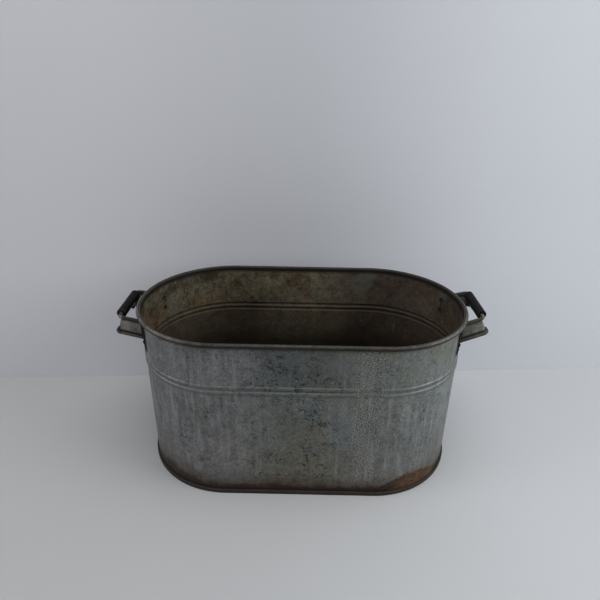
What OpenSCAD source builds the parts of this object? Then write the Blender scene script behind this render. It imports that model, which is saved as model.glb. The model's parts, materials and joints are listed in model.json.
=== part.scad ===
// Oval galvanized tub with two wood-gripped side handles.
// Origin: centre of the footprint, on the floor. X runs end to end, Y side to side, Z up.

/* [Tub body] */
// Length of the straight side walls between the round ends
straight = 257; // [180:1:340]
// Outer radius of the round ends, half the width over the wall
end_r = 148; // [110:1:190]
// Height from the floor to the top of the rim
height = 302; // [240:1:380]
// Thickness of the body and bottom sheet
sheet = 0.9; // [0.7:0.05:1.2]
// Clearance left between folded layers and between loose neighbours
fold_gap = 0.1; // [0.05:0.01:0.15]

/* [Rim] */
// Outer radius of the rolled rim
rim_r = 4; // [3:0.1:5]

/* [Bottom seam] */
// Height of the double seam round the bottom
seam_h = 7.5; // [6:0.1:12]
// Clearance between the layers of the bottom seam
foot_gap = 0.2; // [0.15:0.01:0.3]

/* [Swaged beads] */
// Distance from the rim top down to the upper bead
bead_drop = 82; // [50:1:120]
// Distance between the two bead centres
bead_pitch = 10; // [9:0.1:16]
// Width of one bead on the wall
bead_w = 8; // [5:0.1:8.8]
// How far one bead stands out of the wall
bead_h = 1.6; // [0.8:0.1:2.2]

/* [Side seam] */
// Position of the vertical lock seam along the front wall
lock_x = 112; // [60:1:116]
// Width of the folded lock seam
lock_w = 9; // [6:0.1:12]
// Length of plain wall between the lock seam and the end of the beads
lock_clear = 19; // [12:1:30]
// Distance that the lock seam stops short of the rim and of the bottom seam
lock_end = 6; // [4:1:20]

/* [Handles] */
// Distance that both handles stand out from the outer end walls
handle_out = 37.5; // [34:0.1:50]
// Distance from the underside of the rim down to the left handle wire, at the wall
left_wire_drop = 10.6; // [4.6:0.1:30]
// Upward tilt of the left handle
left_tilt = 8.5; // [4:0.1:18]
// Distance from the underside of the rim down to the right handle wire, at the wall
right_wire_drop = 4.7; // [4.6:0.1:30]
// Upward tilt of the right handle
right_tilt = 17; // [4:0.1:18]
// Half the distance between the two arms at the outer corners
arm_half = 50; // [40:0.1:60]
// Angle by which the arms spread towards the tub
arm_splay = 8; // [0:0.5:12]
// Distance from the grip axis along the web of an arm to its lower edge
arm_depth = 30.5; // [24:0.1:40]
// Angle by which the web of an arm leans outward below the wire
web_lean = 7.5; // [0:0.5:10]
// Thickness of the bracket sheet
bracket_sheet = 0.9; // [0.7:0.05:1.4]
// Outer radius of the curled lower edge of an arm
hem_r = 2.5; // [2:0.05:3.5]
// Bend radius of the outer corner, on the wire axis
corner_r = 6; // [5:0.1:9]
// Length that an arm keeps its full section past the outer corner
corner_run = 4.8; // [2:0.1:8]
// Length of the returned end under the grip
return_l = 3; // [1:0.5:14]
// Gap between the grip and the returned end below it
return_gap = 1; // [0.5:0.1:3]

/* [Grips] */
// Radius of the handle wire
wire_r = 2; // [1.6:0.05:2.5]
// Radius of the wooden grip
grip_r = 8; // [6.5:0.1:9]
// Chamfer on the ends of the grip
grip_chamfer = 1; // [0.4:0.1:2]
// Radial running clearance of the grip on its wire
grip_play = 0.08; // [0.05:0.01:0.1]
// Gap between the grip and the wire bend at each end
grip_end_gap = 0.5; // [0.3:0.1:1.5]

/* [Feet and rivets] */
// Distance that the foot reaches inward of the handle wire
foot_back = 4; // [3.5:0.1:6]
// Distance that the foot reaches below its arm
foot_below = 17.5; // [8:0.5:20]
// Distance between the two rivets of a foot
rivet_pitch = 20; // [16:0.5:26]
// Clearance between the head of a rivet and the lower roll of its arm
rivet_gap = 1; // [0.5:0.1:2]
// Distance from the head of a rivet to the outer edge of its foot
foot_edge = 2.6; // [1.5:0.1:5]
// Distance of the middle of the two rivets below the handle wire
rivet_drop = 23; // [20:0.5:26]
// Radius of a rivet shank
rivet_r = 2; // [1.5:0.1:2.5]
// Radius of a rivet head
rivet_head_r = 4; // [3.2:0.1:5]
// Height of the domed outer head
rivet_dome = 2; // [1.2:0.1:2.6]
// Thickness of the flat inner head
rivet_flat = 1; // [0.6:0.1:1.6]
// Gap under the flat inner head, which bridges the hollow of the wall
head_gap = 0.1; // [0.06:0.01:0.3]

/* [Hidden] */
$fn = 96;
small_fn = 36;
bend_extra = 2;

layer = sheet + fold_gap;
wall_in = end_r - sheet;
rim_c = wall_in + rim_r;
rim_z = height - rim_r;

bead_R = (bead_w * bead_w / 4 + bead_h * bead_h) / (2 * bead_h);
bead_c = end_r + bead_h - bead_R;
bead_zs = [height - bead_drop, height - bead_drop - bead_pitch];

foot_layer = sheet + foot_gap;
hook_out = end_r + 2 * foot_layer;
seam_out = hook_out + foot_layer;
rim_low = height - 2 * rim_r;
lock_z0 = seam_h + lock_end;
lock_z1 = rim_low - lock_end;
lock_right = lock_x + lock_w / 2;
lock_left = lock_x - lock_w / 2;
bead_stop = lock_left - lock_clear;

curl_in = wire_r + fold_gap / 2;
curl_out = curl_in + bracket_sheet;
hem_c = -arm_depth + hem_r;
hem_x = hem_r - curl_out;
hem_out = hem_x * cos(web_lean) - hem_c * sin(web_lean);
hem_low = hem_x * sin(web_lean) + hem_c * cos(web_lean);
arm_l = handle_out + end_r;
grip_half = arm_half - corner_r - corner_run - grip_end_gap;

end_x = straight / 2 + end_r;
foot_in = end_r + fold_gap;
foot_out = foot_in + bracket_sheet;
left_root_z = rim_low - left_wire_drop;
right_root_z = rim_low - right_wire_drop;

// Reach of the grip axis that brings the outermost point of the handle to handle_out
function grip_x(tilt) =
    end_x + handle_out - max(grip_r, hem_out * cos(tilt) - hem_low * sin(tilt) + hem_r);
// Distance from the middle of the handle to a point of its foot, out from the wire by out
function foot_y(tilt, out) = arm_half + tan(arm_splay) * (grip_x(tilt) - end_x) + out;
function foot_a0(tilt) = asin(foot_y(tilt, -foot_back) / foot_out);
function wire_a(tilt) = asin(foot_y(tilt, 0) / foot_out);
// Length of the lower roll of an arm, from below the grip axis to the wall
function roll_l(tilt) =
    (grip_x(tilt) - straight / 2 - foot_out * cos(wire_a(tilt)) - hem_low * sin(tilt)) / cos(tilt);
// Distance from the middle of the handle to the outer side of that roll, at the wall
function roll_y(tilt) =
    arm_half - corner_r + tan(arm_splay) * (roll_l(tilt) - corner_r)
    + (corner_r + hem_out + hem_r) / cos(arm_splay);
function rivet_a(tilt) =
    asin((roll_y(tilt) + rivet_gap) / foot_out) + rivet_head_r / foot_out * 180 / PI;
function foot_a1(tilt) = rivet_a(tilt) + (rivet_head_r + foot_edge) / foot_out * 180 / PI;
function foot_low(tilt) = arm_depth / cos(tilt) + foot_below;
// Height of the grip axis above the handle wire's root at the wall
function rise(tilt) = tan(tilt) * (grip_x(tilt) - straight / 2 - foot_out * cos(wire_a(tilt)));

// Sweeps a profile, drawn with X as the distance from the centre line, round the oval
module oval_sweep() {
    for (turn = [0, 180])
        rotate([0, 0, turn]) {
            round_end() children();
            side_run(-straight / 2, straight / 2) children();
        }
}

module round_end() {
    translate([straight / 2, 0, 0])
        rotate([0, 0, -90])
            rotate_extrude(angle = 180) children();
}

// Straight run of a profile along the rear wall, from x0 to x1
module side_run(x0, x1) {
    translate([x0, 0, 0])
        rotate([90, 0, 90])
            linear_extrude(x1 - x0) children();
}

// Rectangle given by its low and high corners
module box2(x0, y0, x1, y1) {
    translate([x0, y0]) square([x1 - x0, y1 - y0]);
}

// Quarter of a bend, with its centre at x, y and its arc in the given quadrant
module bend2(x, y, r_in, r_out, sx, sy) {
    translate([x, y])
        intersection() {
            difference() {
                circle(r_out, $fn = small_fn);
                circle(r_in, $fn = small_fn);
            }
            scale_square(r_out, sx, sy);
        }
}

module scale_square(size, sx, sy) {
    translate([sx > 0 ? 0 : -size, sy > 0 ? 0 : -size]) square(size);
}

// Wall from the bottom hook to the middle of the rim curl
module plain_profile() {
    box2(wall_in, foot_layer, end_r, rim_z - rim_r / 2);
    box2(wall_in, rim_z - rim_r / 2, end_r - sheet / 4, rim_z);
    translate([rim_c, rim_z])
        difference() {
            circle(rim_r, $fn = small_fn);
            circle(rim_r - sheet, $fn = small_fn);
        }
    box2(wall_in, foot_layer, hook_out, foot_layer + sheet);
    box2(hook_out - sheet, foot_layer, hook_out, seam_h - foot_layer);
}

module beaded_profile() {
    difference() {
        union() {
            plain_profile();
            for (z = bead_zs)
                intersection() {
                    translate([bead_c, z]) circle(bead_R, $fn = small_fn);
                    box2(wall_in, z - bead_R, end_r + bead_R, z + bead_R);
                }
        }
        for (z = bead_zs)
            translate([bead_c, z]) circle(bead_R - sheet, $fn = small_fn);
    }
}

// Layers of the folded lock seam, drawn in plan with Y as the depth behind the outer face
module lock_layers() {
    box2(lock_left + layer, -2 * layer - sheet, lock_right, -2 * layer);
    box2(lock_right - sheet, -2 * layer - sheet, lock_right, 0);
    box2(lock_left, -3 * layer - sheet, lock_right + layer, -3 * layer);
    box2(lock_left, -3 * layer - sheet, lock_left + sheet, -layer);
    box2(lock_left, -layer - sheet, lock_right - layer, -layer);
    box2(lock_right + fold_gap, -3 * layer - sheet, lock_right + layer, 0);
}

// Rounded ends of the beads at each side of the plain wall that holds the lock seam
module bead_ends(r) {
    for (z = bead_zs)
        for (x = [bead_stop, straight / 2])
            intersection() {
                translate([x, -bead_c, z]) sphere(r, $fn = small_fn);
                translate([bead_stop, -end_r - bead_R, z - bead_R])
                    cube([straight / 2 - bead_stop, bead_R + sheet, 2 * bead_R]);
            }
}

module body_sheet() color([0.45, 0.47, 0.46]) {
    difference() {
        union() {
            round_end() beaded_profile();
            side_run(-straight / 2, straight / 2) beaded_profile();
            rotate([0, 0, 180]) {
                round_end() beaded_profile();
                side_run(-bead_stop, straight / 2) beaded_profile();
                side_run(-straight / 2, -bead_stop) plain_profile();
            }
            bead_ends(bead_R);
            lock_prism() lock_layers();
        }
        bead_ends(bead_R - sheet);
        lock_prism() box2(lock_right, -layer, lock_right + fold_gap, 1);
        for (end = [-1, 1]) {
            corner(-1, end) wall_holes(left_root_z, left_tilt);
            corner(1, end) wall_holes(right_root_z, right_tilt);
        }
    }
}

module wall_holes(root_z, tilt) {
    foot_rivets(root_z, tilt)
        translate([0, 0, wall_in - sheet])
            cylinder(h = 3 * sheet, r = rivet_r + fold_gap, $fn = small_fn);
}

module lock_prism() {
    translate([0, -end_r, lock_z0])
        mirror([0, 1, 0])
            linear_extrude(lock_z1 - lock_z0) children();
}

module rim_wire() color([0.4, 0.4, 0.39]) {
    oval_sweep()
        translate([rim_c, rim_z]) circle(rim_r - layer, $fn = small_fn);
}

// Recessed bottom whose edge wraps round the hook of the body sheet
module pan_profile() {
    skirt_in = wall_in - foot_layer;
    corner = 1.5;
    box2(0, seam_h - sheet, skirt_in + sheet, seam_h);
    box2(skirt_in, 0, skirt_in + sheet, seam_h);
    box2(skirt_in, 0, seam_out - corner, sheet);
    bend2(seam_out - corner, corner, corner - sheet, corner, 1, -1);
    box2(seam_out - sheet, corner, seam_out, seam_h - corner);
    bend2(seam_out - corner, seam_h - corner, corner - sheet, corner, 1, 1);
    box2(end_r + foot_gap, seam_h - sheet, seam_out - corner, seam_h);
    box2(end_r + foot_gap, 2 * foot_layer, end_r + foot_layer, seam_h);
}

module bottom_pan() color([0.42, 0.43, 0.42]) {
    oval_sweep() pan_profile();
}

// Sets a handle piece, drawn about the grip axis with X outward, at the right end.
// The wire meets the wall at the height root_z.
module at_handle(root_z, tilt) {
    translate([grip_x(tilt), 0, root_z + rise(tilt)])
        rotate([0, -tilt, 0])
            children();
}

// Runs a profile, drawn round the wire axis, along the front arm and round its outer corner.
// The bend is drawn past the start of the grip and cut back square.
module arm_sweep() {
    translate([-corner_r, -arm_half + corner_r, 0])
        difference() {
            rotate([0, 0, arm_splay - 90]) {
                rotate_extrude(angle = 90 - arm_splay + bend_extra)
                    translate([corner_r, 0]) children();
                rotate([90, 0, 0])
                    linear_extrude(arm_l) translate([corner_r, 0]) children();
            }
            translate([-corner_r, 0, -arm_depth - hem_r])
                cube([corner_r + arm_depth, corner_r, arm_depth + 2 * hem_r + curl_out]);
        }
}

// Runs a profile towards the middle of the grip, from a distance past the outer corner
module grip_run(start, length) {
    translate([0, -arm_half + corner_r + start, 0])
        rotate([90, 0, 0])
            mirror([0, 0, 1])
                linear_extrude(length) children();
}

// Tube with a sheet wall, as a rolled edge leaves it
module roll(r_out, r_in) {
    difference() {
        circle(r_out, $fn = small_fn);
        circle(r_in, $fn = small_fn);
    }
}

// Sheet whose face at x = 0 runs into a roll at each end, just clear of the rolls' hollows
module web(low, low_r, high, high_r) {
    box2(0, low + low_r / 2, bracket_sheet, high - high_r / 2);
    box2(0, low, bracket_sheet * 0.75, high);
}

module bracket_profile() {
    roll(curl_out, curl_in);
    rotate(web_lean) {
        translate([-curl_out, 0]) web(hem_c, hem_r, 0, curl_out);
        translate([hem_x, hem_c]) roll(hem_r, hem_r - bracket_sheet);
    }
}

// Low web and lower roll that pass under the grip
module return_profile() {
    rotate(web_lean) {
        translate([-curl_out, 0]) web(hem_c, hem_r, -grip_r - return_gap, 0);
        translate([hem_x, hem_c]) roll(hem_r, hem_r - bracket_sheet);
    }
}

module foot_plate(root_z, tilt) {
    translate([straight / 2, 0, root_z - foot_low(tilt)])
        rotate([0, 0, -foot_a1(tilt)])
            rotate_extrude(angle = foot_a1(tilt) - foot_a0(tilt))
                box2(foot_in, 0, foot_out, foot_low(tilt) + curl_out);
}

// Places its children at both rivets of the right front foot, with Z radially outward
module foot_rivets(root_z, tilt) {
    for (dz = [-rivet_pitch / 2, rivet_pitch / 2])
        translate([straight / 2, 0, root_z - rivet_drop + dz])
            rotate([0, 90, -rivet_a(tilt)])
                children();
}

// Front bracket of the right-hand handle
module front_bracket(root_z, tilt) {
    difference() {
        union() {
            difference() {
                at_handle(root_z, tilt) {
                    arm_sweep() bracket_profile();
                    grip_run(0, corner_run) bracket_profile();
                    grip_run(corner_run, return_l) return_profile();
                }
                end_cylinder(foot_in);
            }
            foot_plate(root_z, tilt);
        }
        foot_rivets(root_z, tilt)
            translate([0, 0, foot_in - bracket_sheet])
                cylinder(h = 3 * bracket_sheet, r = rivet_r + fold_gap, $fn = small_fn);
    }
}

// Moves a piece of the right front corner to the named corner of the tub
module corner(side, end) {
    mirror([side > 0 ? 0 : 1, 0, 0])
        mirror([0, end > 0 ? 1 : 0, 0])
            children();
}

// Upright cylinder about the centre of the right round end
module end_cylinder(r) {
    translate([straight / 2, 0, 0]) cylinder(h = height + rim_r, r = r);
}

// Wire of the right-hand handle, from foot to foot
module handle_wire(root_z, tilt) {
    difference() {
        at_handle(root_z, tilt)
            for (end = [-1, 1])
                corner(1, end) {
                    arm_sweep() circle(wire_r, $fn = small_fn);
                    grip_run(0, arm_half - corner_r) circle(wire_r, $fn = small_fn);
                }
        end_cylinder(foot_out + wire_r);
    }
}

module grip(root_z, tilt) {
    bore = wire_r + grip_play;
    at_handle(root_z, tilt)
        rotate([90, 0, 0])
            rotate_extrude()
                polygon([
                    [bore, -grip_half],
                    [grip_r - grip_chamfer, -grip_half],
                    [grip_r, -grip_half + grip_chamfer],
                    [grip_r, grip_half - grip_chamfer],
                    [grip_r - grip_chamfer, grip_half],
                    [bore, grip_half]
                ]);
}

// Two rivets: flat head inside the tub, shank through wall and foot, domed head outside
module rivets(root_z, tilt) {
    seat_in = wall_in - head_gap;
    seat_out = foot_out + fold_gap;
    dome_R = (rivet_head_r * rivet_head_r + rivet_dome * rivet_dome) / (2 * rivet_dome);
    foot_rivets(root_z, tilt) {
        translate([0, 0, seat_in - rivet_flat])
            cylinder(h = rivet_flat, r = rivet_head_r, $fn = small_fn);
        translate([0, 0, seat_in])
            cylinder(h = seat_out - seat_in, r = rivet_r, $fn = small_fn);
        translate([0, 0, seat_out])
            intersection() {
                translate([0, 0, rivet_dome - dome_R]) sphere(dome_R, $fn = small_fn);
                cylinder(h = rivet_dome, r = rivet_head_r, $fn = small_fn);
            }
    }
}

zinc = [0.5, 0.51, 0.5];
steel = [0.42, 0.41, 0.4];
black = [0.08, 0.08, 0.08];

module left_front_bracket() color(zinc) corner(-1, -1) front_bracket(left_root_z, left_tilt);
module left_rear_bracket() color(zinc) corner(-1, 1) front_bracket(left_root_z, left_tilt);
module right_front_bracket() color(zinc) corner(1, -1) front_bracket(right_root_z, right_tilt);
module right_rear_bracket() color(zinc) corner(1, 1) front_bracket(right_root_z, right_tilt);
module left_handle_wire() color(steel) corner(-1, -1) handle_wire(left_root_z, left_tilt);
module right_handle_wire() color(steel) handle_wire(right_root_z, right_tilt);
module left_grip() color(black) corner(-1, -1) grip(left_root_z, left_tilt);
module right_grip() color(black) grip(right_root_z, right_tilt);
module left_front_rivets() color(steel) corner(-1, -1) rivets(left_root_z, left_tilt);
module left_rear_rivets() color(steel) corner(-1, 1) rivets(left_root_z, left_tilt);
module right_front_rivets() color(steel) corner(1, -1) rivets(right_root_z, right_tilt);
module right_rear_rivets() color(steel) corner(1, 1) rivets(right_root_z, right_tilt);

body_sheet();
rim_wire();
bottom_pan();
left_front_bracket();
left_rear_bracket();
right_front_bracket();
right_rear_bracket();
left_handle_wire();
right_handle_wire();
left_grip();
right_grip();
left_front_rivets();
left_rear_rivets();
right_front_rivets();
right_rear_rivets();
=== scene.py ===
import json
import math

import bpy
from mathutils import Matrix, Vector

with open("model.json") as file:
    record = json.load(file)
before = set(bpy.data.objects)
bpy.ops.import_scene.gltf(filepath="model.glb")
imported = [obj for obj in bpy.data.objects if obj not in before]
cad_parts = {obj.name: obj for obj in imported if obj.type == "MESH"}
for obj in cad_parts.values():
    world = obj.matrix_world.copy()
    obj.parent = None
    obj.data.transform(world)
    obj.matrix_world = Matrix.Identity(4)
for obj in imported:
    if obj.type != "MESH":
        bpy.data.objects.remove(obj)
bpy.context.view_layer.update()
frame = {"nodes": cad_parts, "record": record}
scene = bpy.context.scene

# Sizes of the tub that the materials follow, in metres
HALF_STRAIGHT = 0.1285
WALL_OUT = 0.148
RIM_LOW = 0.294
LOCK_X = 0.112
LOCK_HALF = 0.0045
BEADS = (0.220, 0.210)
# Grip axes, as distance out from the middle and height, and tilts of the handles
LEFT_GRIP, LEFT_TILT = (0.3042, 0.2889), math.radians(8.5)
RIGHT_GRIP, RIGHT_TILT = (0.3003, 0.2993), math.radians(17)


def srgb(r, g, b):
    """Linear colour from an sRGB one of 0 to 255."""
    out = []
    for c in (r, g, b):
        c /= 255
        out.append(c / 12.92 if c <= 0.04045 else ((c + 0.055) / 1.055) ** 2.4)
    return (*out, 1.0)


class Num:
    """A number in a node tree, so that masks can be written as plain sums."""

    def __init__(self, tree, socket):
        self.tree, self.socket = tree, socket

    def math(self, operation, *others):
        node = self.tree.nodes.new("ShaderNodeMath")
        node.operation = operation
        self.tree.links.new(self.socket, node.inputs[0])
        for i, other in enumerate(others):
            if isinstance(other, Num):
                self.tree.links.new(other.socket, node.inputs[i + 1])
            else:
                node.inputs[i + 1].default_value = other
        return Num(self.tree, node.outputs[0])

    def __add__(self, other):
        return self.math("ADD", other)

    def __sub__(self, other):
        return self.math("SUBTRACT", other)

    def __mul__(self, other):
        return self.math("MULTIPLY", other)

    def __truediv__(self, other):
        return self.math("DIVIDE", other)

    def __neg__(self):
        return self * -1.0

    def max(self, other):
        return self.math("MAXIMUM", other)

    def min(self, other):
        return self.math("MINIMUM", other)

    def abs(self):
        return self.math("ABSOLUTE")

    def inverse(self):
        return self * -1.0 + 1.0

    def near(self, centre, half_width):
        """1 at centre, falling smoothly to 0 at half_width from it."""
        return (self - centre).abs().ramp(half_width, 0.0)

    def ramp(self, low, high):
        """0 below low and 1 above high, smooth between; low above high turns it round."""
        node = self.tree.nodes.new("ShaderNodeMapRange")
        node.interpolation_type = "SMOOTHSTEP"
        flip = low > high
        if flip:
            low, high = high, low
        node.inputs["From Min"].default_value = low
        node.inputs["From Max"].default_value = high
        node.inputs["To Min"].default_value = 1.0 if flip else 0.0
        node.inputs["To Max"].default_value = 0.0 if flip else 1.0
        self.tree.links.new(self.socket, node.inputs["Value"])
        return Num(self.tree, node.outputs["Result"])


class Look:
    """One material's node tree, with the coordinates that its masks use."""

    def __init__(self, name):
        self.material = bpy.data.materials.new(name)
        self.material.use_nodes = True
        self.tree = self.material.node_tree
        self.shader = self.tree.nodes["Principled BSDF"]
        coords = self.tree.nodes.new("ShaderNodeTexCoord")
        self.place = coords.outputs["Object"]
        self.x, self.y, self.z = self.split(self.place)
        self.face = self.split(coords.outputs["Normal"])

    def split(self, vector):
        node = self.tree.nodes.new("ShaderNodeSeparateXYZ")
        self.tree.links.new(vector, node.inputs[0])
        return [Num(self.tree, node.outputs[i]) for i in range(3)]

    def vector(self, x, y, z):
        node = self.tree.nodes.new("ShaderNodeCombineXYZ")
        for i, value in enumerate((x, y, z)):
            if isinstance(value, Num):
                self.tree.links.new(value.socket, node.inputs[i])
            else:
                node.inputs[i].default_value = value
        return node.outputs[0]

    def noise(self, scale, detail=3.0, rough=0.55, distort=0.0, at=None):
        node = self.tree.nodes.new("ShaderNodeTexNoise")
        node.inputs["Scale"].default_value = scale
        node.inputs["Detail"].default_value = detail
        node.inputs["Roughness"].default_value = rough
        node.inputs["Distortion"].default_value = distort
        self.tree.links.new(at or self.place, node.inputs["Vector"])
        return Num(self.tree, node.outputs["Fac"])

    def cells(self, scale, feature="F1", at=None, output="Distance", jitter=1.0):
        node = self.tree.nodes.new("ShaderNodeTexVoronoi")
        node.feature = feature
        node.inputs["Scale"].default_value = scale
        node.inputs["Randomness"].default_value = jitter
        self.tree.links.new(at or self.place, node.inputs["Vector"])
        if output == "Color":
            split = self.tree.nodes.new("ShaderNodeSeparateColor")
            self.tree.links.new(node.outputs["Color"], split.inputs[0])
            return Num(self.tree, split.outputs[0])
        return Num(self.tree, node.outputs[output])

    def mix(self, amount, a, b):
        """Colour a where amount is 0 and b where it is 1."""
        node = self.tree.nodes.new("ShaderNodeMix")
        node.data_type = "RGBA"
        node.clamp_factor = True
        self.tree.links.new(amount.socket, node.inputs["Factor"])
        for socket, value in ((node.inputs[6], a), (node.inputs[7], b)):
            if isinstance(value, tuple):
                socket.default_value = value
            else:
                self.tree.links.new(value, socket)
        return node.outputs[2]

    def scaled(self, colour, amount):
        """A colour made lighter or darker by a number round 1."""
        node = self.tree.nodes.new("ShaderNodeVectorMath")
        node.operation = "SCALE"
        self.tree.links.new(colour, node.inputs[0])
        self.tree.links.new(amount.socket, node.inputs["Scale"])
        return node.outputs[0]

    def finish(self, colour, rough, metal, height=None, depth=0.0005, strength=1.0):
        self.tree.links.new(colour, self.shader.inputs["Base Color"])
        for value, name in ((rough, "Roughness"), (metal, "Metallic")):
            if isinstance(value, Num):
                self.tree.links.new(value.socket, self.shader.inputs[name])
            else:
                self.shader.inputs[name].default_value = value
        if height is not None:
            bump = self.tree.nodes.new("ShaderNodeBump")
            bump.inputs["Strength"].default_value = strength
            bump.inputs["Distance"].default_value = depth
            self.tree.links.new(height.socket, bump.inputs["Height"])
            self.tree.links.new(bump.outputs[0], self.shader.inputs["Normal"])
        return self.material


class Oval:
    """Where a point of the tub lies: how far round the end, how far out, and which way it faces."""

    def __init__(self, look):
        x, y = look.x, look.y
        past = (x.abs() - HALF_STRAIGHT).max(0.0)
        self.reach = (past * past + y * y).math("SQRT")
        self.turn = past.math("ARCTAN2", -y)
        self.from_corner = x.abs().min(HALF_STRAIGHT) - HALF_STRAIGHT + self.turn * WALL_OUT
        outward = look.face[0] * x.math("SIGN") * past + look.face[1] * y
        self.lean = outward / self.reach
        self.inside = self.lean.ramp(0.06, -0.06)
        self.right = x.ramp(0.02, 0.12)
        self.left = x.ramp(-0.02, -0.12)
        self.front = y.ramp(0.02, -0.06)

    def degrees(self, angle):
        """Distance along the round end from the given angle, in metres."""
        return (self.turn - math.radians(angle)) * WALL_OUT


class Zinc:
    """Marks that all the old zinc shares, each a number from 0 to 1."""

    def __init__(self, look):
        x, y, z = look.x, look.y, look.z
        self.blotch = look.noise(15.0, 4.0, 0.6)
        self.patch = look.noise(52.0, 5.0, 0.68, 0.4)
        self.middle = look.noise(135.0, 3.0, 0.6, 0.6)
        self.fine = look.noise(330.0, 4.0, 0.7)
        bent = look.vector(x + self.patch * 0.014, y + self.patch * 0.014, z + self.patch * 0.018)
        self.crystal = look.cells(95.0, output="Color", at=bent)
        self.runs = look.noise(80.0, 4.0, 0.6, 0.3, at=look.vector(x, y, z * 0.22))
        self.streaks = look.noise(150.0, 3.0, 0.6, 0.2, at=look.vector(x, y, z * 0.07))
        cluster = look.noise(17.0, 3.0, 0.6).ramp(0.43, 0.56)
        strokes = look.noise(88.0, 2.0, 0.5).ramp(0.45, 0.52)
        lines = (look.noise(70.0, 2.0, 0.5, 0.7) - 0.5).abs().ramp(0.05, 0.012)
        self.crows_feet = lines * strokes * cluster
        curls = (look.noise(115.0, 2.0, 0.5, 0.6) - 0.5).abs().ramp(0.07, 0.02)
        self.ticks = curls * look.noise(101.0, 2.0, 0.5).ramp(0.49, 0.56)
        self.spots = self.middle.ramp(0.43, 0.33) * self.blotch.ramp(0.38, 0.56)

    def shade(self, blotch=0.6, patch=1.3, middle=1.3, crystal=0.16, fine=2.2, runs=0.4):
        """Brightness round 1 that brings the marks together."""
        return (
            (self.blotch - 0.5) * blotch
            + (self.patch - 0.5) * patch
            + (self.middle - 0.5) * middle
            + (self.crystal - 0.5) * crystal
            + (self.fine - 0.5) * fine
            + (self.runs - 0.5) * runs
            + 1.0
        ).max(0.25)


def rust_colour(look, grain):
    """Dry rust: dark brown with duller and lighter patches, after its grain."""
    broad = look.noise(48.0, 4.0, 0.6)
    colour = look.mix(grain.ramp(0.36, 0.66), srgb(27, 18, 12), srgb(96, 65, 40))
    return look.mix(broad.ramp(0.5, 0.62) * 0.7, colour, srgb(50, 36, 24))


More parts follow.
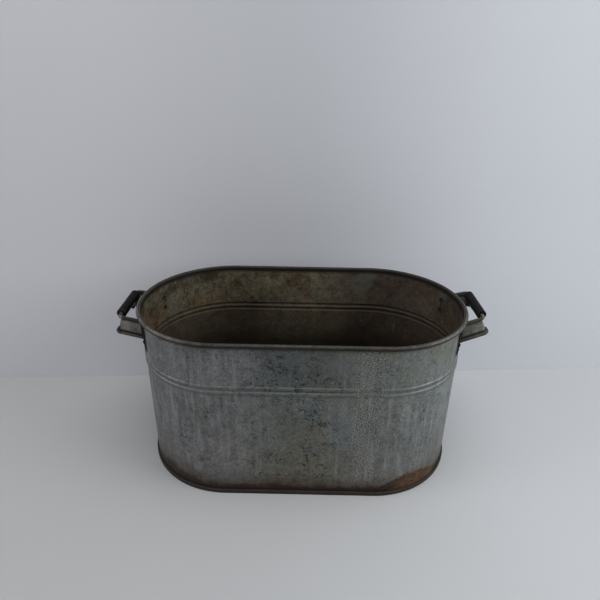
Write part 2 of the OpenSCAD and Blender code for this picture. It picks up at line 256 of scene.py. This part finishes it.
def tub_zinc():
    look = Look("tub_zinc_worn")
    x, y, z = look.x, look.y, look.z
    oval = Oval(look)
    zinc = Zinc(look)
    inside, right, left, front = oval.inside, oval.right, oval.left, oval.front

    # outside: grey with cool, green and warm areas
    area = look.noise(8.0, 3.0, 0.6)
    outer = look.mix(area.ramp(0.4, 0.62), srgb(104, 107, 100), srgb(101, 105, 104))
    warm = (look.noise(11.0, 3.0, 0.6) + z.ramp(0.15, 0.02) * 0.34).ramp(0.55, 0.72)
    outer = look.mix(warm * 0.75, outer, srgb(103, 98, 84))
    ends = left.max(right)
    # painted reflection of the windows: the round ends lighter and the left end bluish; painted light on the right end,
    # round from its corner
    outer = look.mix(ends * 0.6, outer, srgb(117, 119, 118))
    outer = look.mix(left * 0.35, outer, srgb(121, 118, 123))
    lit = right * oval.from_corner.ramp(-0.01, 0.06) * z.ramp(0.04, 0.2)
    outer = look.mix(lit * 0.33, outer, srgb(136, 142, 142))
    upper = z.ramp(0.2, 0.235) * ends.inverse() * front
    tinted = right * z.ramp(0.15, 0.25) * look.noise(14.0, 2.0, 0.5).ramp(0.42, 0.6)
    outer = look.mix(tinted * 0.6, outer, srgb(104, 112, 99))
    marks = zinc.shade(blotch=0.55, patch=0.55, middle=0.6, fine=1.7, runs=0.6) - 1.0
    rubbed = z.near((BEADS[0] + BEADS[1]) / 2, 0.013).max(upper * 0.6)
    marks = marks * (rubbed * 0.65).inverse()
    streaks = (zinc.runs - 0.5) * ends * 0.7 + (zinc.streaks - 0.5) * (ends * 0.5 + 0.2)
    outer = look.scaled(outer, marks + streaks + 1.0 - upper * 0.24)
    middle = (right * 0.65).inverse() * (left * 0.4).inverse()
    outer = look.mix(zinc.crows_feet * middle * 0.85, outer, srgb(36, 39, 37))
    outer = look.mix(zinc.ticks * middle * 0.4, outer, srgb(52, 54, 51))
    outer = look.mix(zinc.ticks * right * 0.35, outer, srgb(148, 152, 150))
    outer = look.mix(zinc.spots * 0.2, outer, srgb(62, 64, 61))
    scrape = look.noise(240.0, 2.0, 0.6, 0.6).ramp(0.69, 0.75)
    outer = look.mix(scrape * 0.65, outer, srgb(166, 167, 163))

    # painted reflection of the windows: pale streaks down the round ends
    window_reflection_streaks = zinc.streaks.ramp(0.53, 0.66) * zinc.runs.ramp(0.42, 0.6)
    outer = look.mix(window_reflection_streaks * (right * 0.34 + left * 0.16), outer, srgb(148, 152, 152))

    # rough speckled zinc left along the lock seam
    wander = (zinc.patch - 0.5) * 0.03
    band = (x - LOCK_X + wander + 0.004).abs().ramp(0.034, 0.014) * front
    grain = look.noise(520.0, 2.0, 0.6)
    outer = look.mix(band * grain.ramp(0.52, 0.59) * 0.75, outer, srgb(156, 157, 150))
    outer = look.mix(band * grain.ramp(0.47, 0.41) * 0.7, outer, srgb(36, 37, 34))
    for edge in (LOCK_X - LOCK_HALF, LOCK_X + LOCK_HALF):
        outer = look.mix(x.near(edge, 0.0011) * front * zinc.runs * 0.5, outer, srgb(48, 48, 45))

    # the beads: a painted highlight along the top of their curve and painted shade below it; at the round ends painted
    # shade over them dims their highlight
    along_front = (ends * 0.75).inverse()
    for bead in BEADS:
        outer = look.mix(z.near(bead, 0.005) * ends * 0.4, outer, srgb(78, 79, 79))
        outer = look.mix(z.near(bead + 0.0029, 0.0011) * along_front * 0.5, outer, srgb(142, 144, 139))
        outer = look.mix(z.near(bead - 0.0034, 0.0014) * along_front * 0.6, outer, srgb(40, 40, 37))

    # painted shade under the rim, and stains running down from it at the right end
    shade_under_rim = z.ramp(RIM_LOW - 0.008, RIM_LOW - 0.001)
    outer = look.mix(shade_under_rim * 0.6, outer, srgb(40, 37, 31))
    stain = zinc.runs.ramp(0.48, 0.66) * z.ramp(0.21, 0.28) * right
    outer = look.mix(stain * 0.6, outer, srgb(98, 91, 68))

    # painted shade on the wall round the feet of the handles
    wall_shade_at_feet = oval.degrees(64).near(0.0, 0.026).ramp(0.0, 0.6) * z.near(0.265, 0.034).ramp(0.0, 0.3)
    wall_shade_at_feet = wall_shade_at_feet.max(oval.degrees(116).near(0.0, 0.026) * z.near(0.265, 0.034))
    outer = look.mix(wall_shade_at_feet * 0.85, outer, srgb(24, 21, 18))

    # brown foot: damp has stained the last centimetres above the bottom seam
    corner = left * oval.degrees(45).near(0.0, 0.09)
    damp_top = z + (zinc.patch - 0.5) * 0.024 + (zinc.blotch - 0.5) * 0.02 - corner * 0.012
    outer = look.mix(damp_top.ramp(0.052, 0.018) * 0.6, outer, srgb(68, 56, 42))
    outer = look.mix(damp_top.ramp(0.025, 0.012) * 0.88, outer, srgb(40, 26, 18))

    # rust at the front right of the foot: its top edge is an arch, highest 7 cm round the corner
    along = oval.from_corner
    from_top = along - 0.07
    ragged = (look.noise(46.0, 5.0, 0.62) - 0.5) * 0.018
    depth = from_top * from_top * -6.8 + 0.042 - z + ragged
    rusted = depth.ramp(-0.002, 0.005) * right * front
    rust_grain = look.noise(190.0, 5.0, 0.7)
    rusty = rust_colour(look, rust_grain)
    tail = rusted * along.ramp(-0.03, 0.0)
    tail_brown = look.mix(rust_grain.ramp(0.4, 0.62), srgb(30, 20, 14), srgb(60, 40, 26))
    outer = look.mix(tail * 0.9, outer, tail_brown)
    rust = rusted * (along + (zinc.patch - 0.5) * 0.05).ramp(0.026, 0.05)
    outer = look.mix(rust * 0.95, outer, rusty)
    core = along.near(0.08, 0.05) * depth.ramp(0.002, 0.012)
    outer = look.mix(rust * core * zinc.patch.ramp(0.4, 0.58) * 0.6, outer, srgb(112, 76, 46))
    crust = depth.near(0.002, 0.0022) * along.ramp(0.02, 0.05) * right * front
    crust = crust.max(along.near(0.12, 0.016) * rust * 0.8)
    outer = look.mix(crust * rust_grain.ramp(0.4, 0.6) * 0.6, outer, srgb(128, 102, 76))
    look.shader.inputs["Specular IOR Level"].default_value = 0.4

    # inside: tan and brown film over the zinc, darker and redder towards the right end
    film = look.mix(look.noise(13.0, 4.0, 0.6).ramp(0.4, 0.62), srgb(98, 95, 80), srgb(104, 95, 76))
    film = look.mix(look.noise(21.0, 4.0, 0.65, 0.4).ramp(0.5, 0.66) * 0.65, film, srgb(88, 68, 46))
    film = look.mix(right * 0.75, film, srgb(64, 50, 43))
    film = look.mix(left * 0.5, film, srgb(72, 60, 39))
    end_left = left * oval.degrees(90).near(0.0, 0.12)
    film = look.mix(end_left * z.ramp(0.275, 0.235) * 0.45, film, srgb(80, 60, 34))
    pale_back = left * z.ramp(0.235, 0.26) * oval.degrees(140).near(0.0, 0.12)
    film = look.mix(pale_back * 0.6, film, srgb(108, 106, 88))
    marks = zinc.shade(blotch=1.2, patch=1.7, middle=1.1, fine=1.7) - 1.0
    film = look.scaled(film, marks * (left * 0.35 + 1.0) + 1.0)
    green = look.noise(17.0, 3.0, 0.5).ramp(0.56, 0.66) * z.ramp(0.2, 0.26)
    film = look.mix(green * 0.4, film, srgb(98, 103, 92))
    mottle = look.noise(150.0, 3.0, 0.6, 0.7)
    film = look.mix(mottle.ramp(0.62, 0.72) * 0.45, film, srgb(136, 126, 104))
    film = look.mix(mottle.ramp(0.37, 0.28) * 0.6, film, srgb(44, 36, 28))
    # painted shade: darker towards the bottom of the inside, nearly black lowest down
    film = look.mix(z.ramp(0.225, 0.2) * (left * 0.25 + 0.45), film, srgb(49, 40, 33))
    film = look.mix(z.ramp(0.19, 0.12) * 0.75, film, srgb(18, 12, 9))
    # painted shade along the inner beads, dimming their highlight
    for bead in BEADS:
        film = look.mix(z.near(bead - 0.001, 0.0055) * (ends * 0.3 + 0.5), film, srgb(46, 38, 29))
    rim_stain = z.ramp(0.255, 0.284) * look.noise(24.0, 4.0, 0.6).ramp(0.47, 0.6)
    film = look.mix(rim_stain * x.ramp(0.02, -0.1) * 0.85, film, srgb(50, 32, 20))
    film = look.mix(z.ramp(0.288, 0.2935) * 0.7, film, srgb(38, 31, 24))
    scratch = oval.degrees(155).near(0.0, 0.0012) * z.near(0.178, 0.02) * right
    film = look.mix(scratch * 0.7, film, srgb(130, 118, 98))
    rear_rivets = oval.degrees(116).near(0.0, 0.028) * z.near(0.266, 0.032)
    drip = rear_rivets * zinc.patch.ramp(0.42, 0.6)
    film = look.mix(drip * 0.7, film, srgb(34, 25, 18))
    far_left = oval.degrees(148).near(0.0, 0.04) * left * z.ramp(0.262, 0.285)
    film = look.mix(far_left * zinc.patch.ramp(0.4, 0.56) * 0.8, film, srgb(30, 20, 13))
    spot = oval.degrees(123).near(0.0, 0.012) * left * z.near(0.285, 0.009)
    film = look.mix(spot * 0.7, film, srgb(32, 22, 14))
    colour = look.mix(inside, outer, film)

    # the rolled rim: handled, browner than the wall
    rim = z.ramp(RIM_LOW - 0.0008, RIM_LOW + 0.0008)
    rim_colour = look.mix(area.ramp(0.42, 0.6), srgb(53, 53, 49), srgb(59, 56, 50))
    rim_colour = look.mix(x.abs().ramp(0.13, 0.23) * 0.8, rim_colour, srgb(98, 95, 89))
    rim_colour = look.scaled(rim_colour, zinc.shade(runs=0.0))
    rim_grime = look.noise(36.0, 4.0, 0.6).ramp(0.5, 0.66)
    rim_colour = look.mix(rim_grime * 0.5, rim_colour, srgb(38, 32, 26))
    rim_colour = look.mix(y.ramp(0.02, 0.1) * 0.65, rim_colour, srgb(36, 34, 30))
    # painted shade on its underside and inner half, with a painted highlight along the line between the top and the
    # inner half
    rim_colour = look.mix(look.face[2].ramp(0.6, 0.1) * 0.8, rim_colour, srgb(34, 31, 27))
    rim_colour = look.mix(oval.lean.ramp(0.2, -0.1) * 0.9, rim_colour, srgb(22, 17, 13))
    rim_highlight_line = look.face[2].near(0.85, 0.1) * inside * zinc.patch.ramp(0.36, 0.5)
    rim_colour = look.mix(rim_highlight_line * 0.6, rim_colour, srgb(96, 91, 80))
    colour = look.mix(rim, colour, rim_colour)

    rough = (zinc.patch - 0.5) * 0.3 + 0.5 + rust * 0.3 + inside * 0.12
    metal = (rust * inside.inverse()).inverse() * (inside * 0.35).inverse() * 0.5
    height = (
        look.noise(11.0, 1.0, 0.4) * 2.6
        + zinc.patch * 0.3
        + zinc.crystal * 0.04
        + zinc.fine * 0.16
        - zinc.crows_feet * 0.25
        + band * grain * 0.45
        + rust * rust_grain * 0.4
    )
    return look.finish(colour, rough, metal, height, depth=0.0009)


def bottom_zinc():
    look = Look("bottom_zinc_worn")
    x, y, z = look.x, look.y, look.z
    oval = Oval(look)
    zinc = Zinc(look)
    seam = oval.reach.ramp(0.1455, 0.1465)
    upper = z.ramp(0.0068, 0.0074) * seam.inverse()

    under = look.scaled(look.mix(zinc.blotch, srgb(98, 102, 100), srgb(110, 112, 108)), zinc.shade())
    under = look.mix(look.noise(12.0, 5.0, 0.65).ramp(0.5, 0.68) * 0.6, under, srgb(82, 64, 50))
    floor_in = look.scaled(look.mix(zinc.blotch, srgb(56, 48, 39), srgb(64, 57, 47)), zinc.shade())
    rusted = look.noise(10.0, 5.0, 0.7, 0.5).ramp(0.46, 0.62)
    floor_in = look.mix(rusted * 0.7, floor_in, srgb(70, 46, 31))

    ring = look.scaled(look.mix(zinc.blotch, srgb(27, 20, 14), srgb(35, 27, 19)), zinc.shade())
    ring = look.mix(look.noise(40.0, 5.0, 0.7).ramp(0.5, 0.66) * 0.6, ring, srgb(44, 29, 19))
    along = oval.from_corner + (zinc.patch - 0.5) * 0.04
    rust = along.ramp(0.0, 0.03) * along.ramp(0.13, 0.11) * oval.right * oval.front
    rust_grain = look.noise(190.0, 5.0, 0.7)
    ring = look.mix(rust * rust_grain.ramp(0.4, 0.66) * 0.7, ring, srgb(50, 32, 21))

    colour = look.mix(upper, under, floor_in)
    colour = look.mix(seam, colour, ring)
    rough = (zinc.patch - 0.5) * 0.25 + 0.56 + seam * 0.2
    metal = (seam * 0.9).inverse() * 0.4
    height = zinc.patch * 0.4 + zinc.fine * 0.2 + rust * rust_grain * 0.6 + look.noise(9.0, 1.0) * 2.0
    return look.finish(colour, rough, metal, height, depth=0.0009)


def bracket_zinc():
    look = Look("bracket_zinc_worn")
    x, y, z = look.x, look.y, look.z
    zinc = Zinc(look)
    left = x.ramp(0.0, -0.01)
    out = x.abs()
    below_left = (out - LEFT_GRIP[0]) * math.tan(LEFT_TILT) + LEFT_GRIP[1] - z
    below_right = (out - RIGHT_GRIP[0]) * math.tan(RIGHT_TILT) + RIGHT_GRIP[1] - z
    below = below_left * left + below_right * left.inverse()

    base = look.mix(zinc.blotch.ramp(0.4, 0.6), srgb(108, 111, 102), srgb(115, 116, 108))
    base = look.mix(left * 0.8, base, srgb(130, 124, 119))
    colour = look.scaled(base, zinc.shade())
    grime = look.noise(64.0, 5.0, 0.65).ramp(0.52, 0.7)
    colour = look.mix(grime * 0.45, colour, srgb(58, 52, 46))
    # the rolled edges, and painted shade with dirt in the creases beside them
    roll = below.ramp(0.0255, 0.028)
    curl = below.ramp(0.0035, 0.0022)
    crease_shade_and_dirt = below.near(0.0042, 0.003).max(below.near(0.0248, 0.0034))
    colour = look.mix(roll * left * 0.6, colour, srgb(66, 63, 62))
    colour = look.mix(roll * left.inverse() * 0.8, colour, srgb(44, 41, 35))
    colour = look.mix(curl * (left * 0.15 + 0.75), colour, srgb(42, 38, 33))
    colour = look.mix(crease_shade_and_dirt * 0.92, colour, srgb(17, 14, 12))
    # painted shade on the rear brackets, deeper lower down
    rear = y.ramp(0.0, 0.02)
    rear_low = below.ramp(0.008, 0.016)
    colour = look.mix(rear * (rear_low * 0.45 + 0.35), colour, srgb(36, 35, 33))
    # painted shade on the brackets close to the wall
    colour = look.mix(out.ramp(0.296, 0.28) * 0.35, colour, srgb(42, 38, 34))
    # painted highlight on the outer corner of the top curl
    corner = curl * out.ramp(0.297, 0.3) * rear.inverse() * zinc.patch.ramp(0.35, 0.5)
    colour = look.mix(corner * 0.4, colour, srgb(150, 144, 132))
    # painted shade on the outer edge of the left handle's bend
    colour = look.mix(left * out.ramp(0.3015, 0.3045) * curl.inverse() * 0.7, colour, srgb(34, 30, 26))
    # painted shade: the feet against the wall are made nearly black
    foot = Oval(look).reach.ramp(0.1512, 0.1498)
    colour = look.mix(foot * (zinc.patch.ramp(0.58, 0.4) * 0.22 + 0.74), colour, srgb(17, 15, 13))
    rough = (zinc.patch - 0.5) * 0.25 + 0.5 + grime * 0.12 + foot * 0.35
    height = zinc.patch * 0.35 + zinc.fine * 0.2 + look.noise(30.0, 1.0) * 0.7
    metal = grime.inverse() * foot.inverse() * 0.5
    look.shader.inputs["Specular IOR Level"].default_value = 0.2
    return look.finish(colour, rough, metal, height, depth=0.0006)


def rivet_steel():
    look = Look("rivet_steel_worn")
    patch = look.noise(240.0, 4.0, 0.65)
    fine = look.noise(900.0, 3.0, 0.6)
    tone = (patch - 0.5) * 1.2 + (fine - 0.5) * 0.8 + 0.5
    colour = look.mix(tone, srgb(30, 27, 23), srgb(70, 65, 58))
    colour = look.mix(look.noise(120.0, 4.0, 0.7).ramp(0.46, 0.6) * 0.7, colour, srgb(42, 29, 21))
    # painted shade: the rivet heads outside the wall are made nearly black, as the bracket feet are
    outside = Oval(look).reach.ramp(0.1484, 0.149)
    colour = look.mix(outside * 0.9, colour, srgb(12, 11, 10))
    rough = tone * 0.2 + 0.45 + outside * 0.3
    metal = outside.inverse() * 0.5
    look.shader.inputs["Specular IOR Level"].default_value = 0.2
    return look.finish(colour, rough, metal, patch * 0.4 + fine * 0.2, depth=0.0004)


def wire_steel():
    look = Look("wire_steel_worn")
    patch = look.noise(180.0, 4.0, 0.65)
    fine = look.noise(800.0, 3.0, 0.6)
    tone = (patch - 0.5) * 1.1 + (fine - 0.5) * 0.6 + 0.5
    colour = look.mix(tone, srgb(58, 54, 50), srgb(122, 118, 112))
    colour = look.mix(look.noise(90.0, 4.0, 0.7).ramp(0.5, 0.64) * 0.6, colour, srgb(80, 54, 38))
    return look.finish(colour, tone * 0.2 + 0.4, 0.7, patch * 0.3 + fine * 0.2, depth=0.0003)


def grip_wood():
    look = Look("grip_wood_black")
    x, y, z = look.x, look.y, look.z
    grain = look.noise(480.0, 4.0, 0.6, 0.3, at=look.vector(x, y * 0.06, z))
    pores = look.cells(900.0, at=look.vector(x, y * 0.05, z)).ramp(0.28, 0.08)
    worn = look.noise(55.0, 4.0, 0.6)
    tip = y.abs().ramp(0.034, 0.0378)
    paint = look.mix(grain, srgb(3, 3, 3), srgb(10, 9, 9))
    rubbed = (worn.ramp(0.56, 0.72) * grain.ramp(0.45, 0.65)).max(tip * worn.ramp(0.42, 0.6))
    colour = look.mix(rubbed * 0.5, paint, srgb(62, 56, 49))
    rough = worn * 0.25 + 0.4 + rubbed * 0.15
    height = grain * 0.35 - pores * 0.5 + worn * 0.8
    look.shader.inputs["Specular IOR Level"].default_value = 0.12
    return look.finish(colour, rough, 0.0, height, depth=0.00035)


LOOKS = {
    "tub_zinc": tub_zinc(),
    "bottom_zinc": bottom_zinc(),
    "bracket_zinc": bracket_zinc(),
    "wire_steel": wire_steel(),
    "rivet_steel": rivet_steel(),
    "grip_wood": grip_wood(),
}

slots = {s["node"]: s["material_slot"] for s in frame["record"]["subparts"]}
for name, node in frame["nodes"].items():
    for holder in node.material_slots:
        holder.material = LOOKS[slots[name]]


def camera_at_the_photograph():
    """Camera fitted to the photograph: place in metres, angles in degrees, focal length in pixels of a 600 frame."""
    place = Vector((0.00389, -0.784145, 0.687478))
    down, yaw, roll = math.radians(26.236), math.radians(-0.426), math.radians(0.900)
    focal = 502.218
    ahead = Vector((math.sin(yaw) * math.cos(down), math.cos(yaw) * math.cos(down), -math.sin(down)))
    level = Vector((math.cos(yaw), -math.sin(yaw), 0))
    above = level.cross(ahead)
    right = level * math.cos(roll) + above * math.sin(roll)
    up = above * math.cos(roll) - level * math.sin(roll)
    data = bpy.data.cameras.new("camera")
    data.sensor_fit = "HORIZONTAL"
    data.sensor_width = 36.0
    data.lens = focal / 600 * 36.0
    data.shift_x = -1.0 / 600
    data.shift_y = 0.5 / 600
    data.clip_start, data.clip_end = 0.02, 30.0
    camera = bpy.data.objects.new("camera", data)
    scene.collection.objects.link(camera)
    turn = Matrix((right, up, -ahead)).transposed().to_4x4()
    camera.matrix_world = Matrix.Translation(place) @ turn
    scene.camera = camera


def stage_material(name, left_colour, right_colour, shade_dip):
    """Pale matt surface with painted light, lighter towards the window at the right, and painted shade in the middle
    behind the tub, as deep as the last argument.
    """
    look = Look(name)
    cloud = look.noise(1.6, 3.0)
    across = look.x.ramp(-0.5, 0.5)
    colour = look.mix(across, left_colour, right_colour)
    shade = cloud * 0.1 + 0.95 - look.x.near(-0.02, 0.45) * shade_dip
    return look.finish(look.scaled(colour, shade), 0.8, 0.0)


def clear_from_behind(material):
    """Makes the back of a surface transparent, so that it hides nothing in views from behind."""
    tree = material.node_tree
    side = tree.nodes.new("ShaderNodeNewGeometry")
    clear = tree.nodes.new("ShaderNodeBsdfTransparent")
    chosen = tree.nodes.new("ShaderNodeMixShader")
    tree.links.new(side.outputs["Backfacing"], chosen.inputs[0])
    tree.links.new(tree.nodes["Principled BSDF"].outputs[0], chosen.inputs[1])
    tree.links.new(clear.outputs[0], chosen.inputs[2])
    tree.links.new(chosen.outputs[0], tree.nodes["Material Output"].inputs["Surface"])


def plane(name, corners, material):
    mesh = bpy.data.meshes.new(name)
    mesh.from_pydata(corners, [], [(0, 1, 2, 3)])
    mesh.materials.append(material)
    obj = bpy.data.objects.new(name, mesh)
    scene.collection.objects.link(obj)
    return obj


def stage_and_light():
    table = stage_material("table_pale", srgb(169, 170, 171), srgb(184, 186, 189), 0.04)
    wall = stage_material("wall_pale", srgb(207, 208, 214), srgb(211, 214, 220), 0.14)
    back_left, back_right = 0.185, 0.245
    plane("table", [(-6, -6, 0), (6, -6, 0), (6, 6, 0), (-6, 6, 0)], table)
    slope = (back_right - back_left) / 0.96
    far = [(-6, 0.218 - 6 * slope, 0), (6, 0.218 + 6 * slope, 0), (6, 0.218 + 6 * slope, 4), (-6, 0.218 - 6 * slope, 4)]
    clear_from_behind(wall)
    plane("backdrop", far, wall)

    world = bpy.data.worlds.new("world")
    scene.world = world
    world.use_nodes = True
    world.node_tree.nodes["Background"].inputs["Color"].default_value = (0.96, 0.98, 1.0, 1.0)
    world.node_tree.nodes["Background"].inputs["Strength"].default_value = 0.35

    def lamp(name, place, aim, size, power, colour=(1, 1, 1)):
        data = bpy.data.lights.new(name, "AREA")
        data.shape = "RECTANGLE"
        data.size, data.size_y = size
        data.energy = power
        data.color = colour
        obj = bpy.data.objects.new(name, data)
        obj.location = place
        obj.rotation_euler = (Vector(aim) - Vector(place)).to_track_quat("-Z", "Y").to_euler()
        scene.collection.objects.link(obj)

    lamp("ceiling", (0.3, -0.2, 2.4), (0, 0, 0.1), (2.4, 1.4), 32, (1.0, 0.99, 0.97))
    lamp("right_window", (2.2, -0.7, 1.3), (0, 0, 0.15), (1.4, 1.4), 28, (0.97, 0.99, 1.0))
    lamp("left_window", (-2.4, -0.6, 1.4), (0, 0, 0.15), (1.2, 1.2), 18, (0.98, 0.99, 1.0))


camera_at_the_photograph()
stage_and_light()
scene.view_settings.view_transform = "Standard"
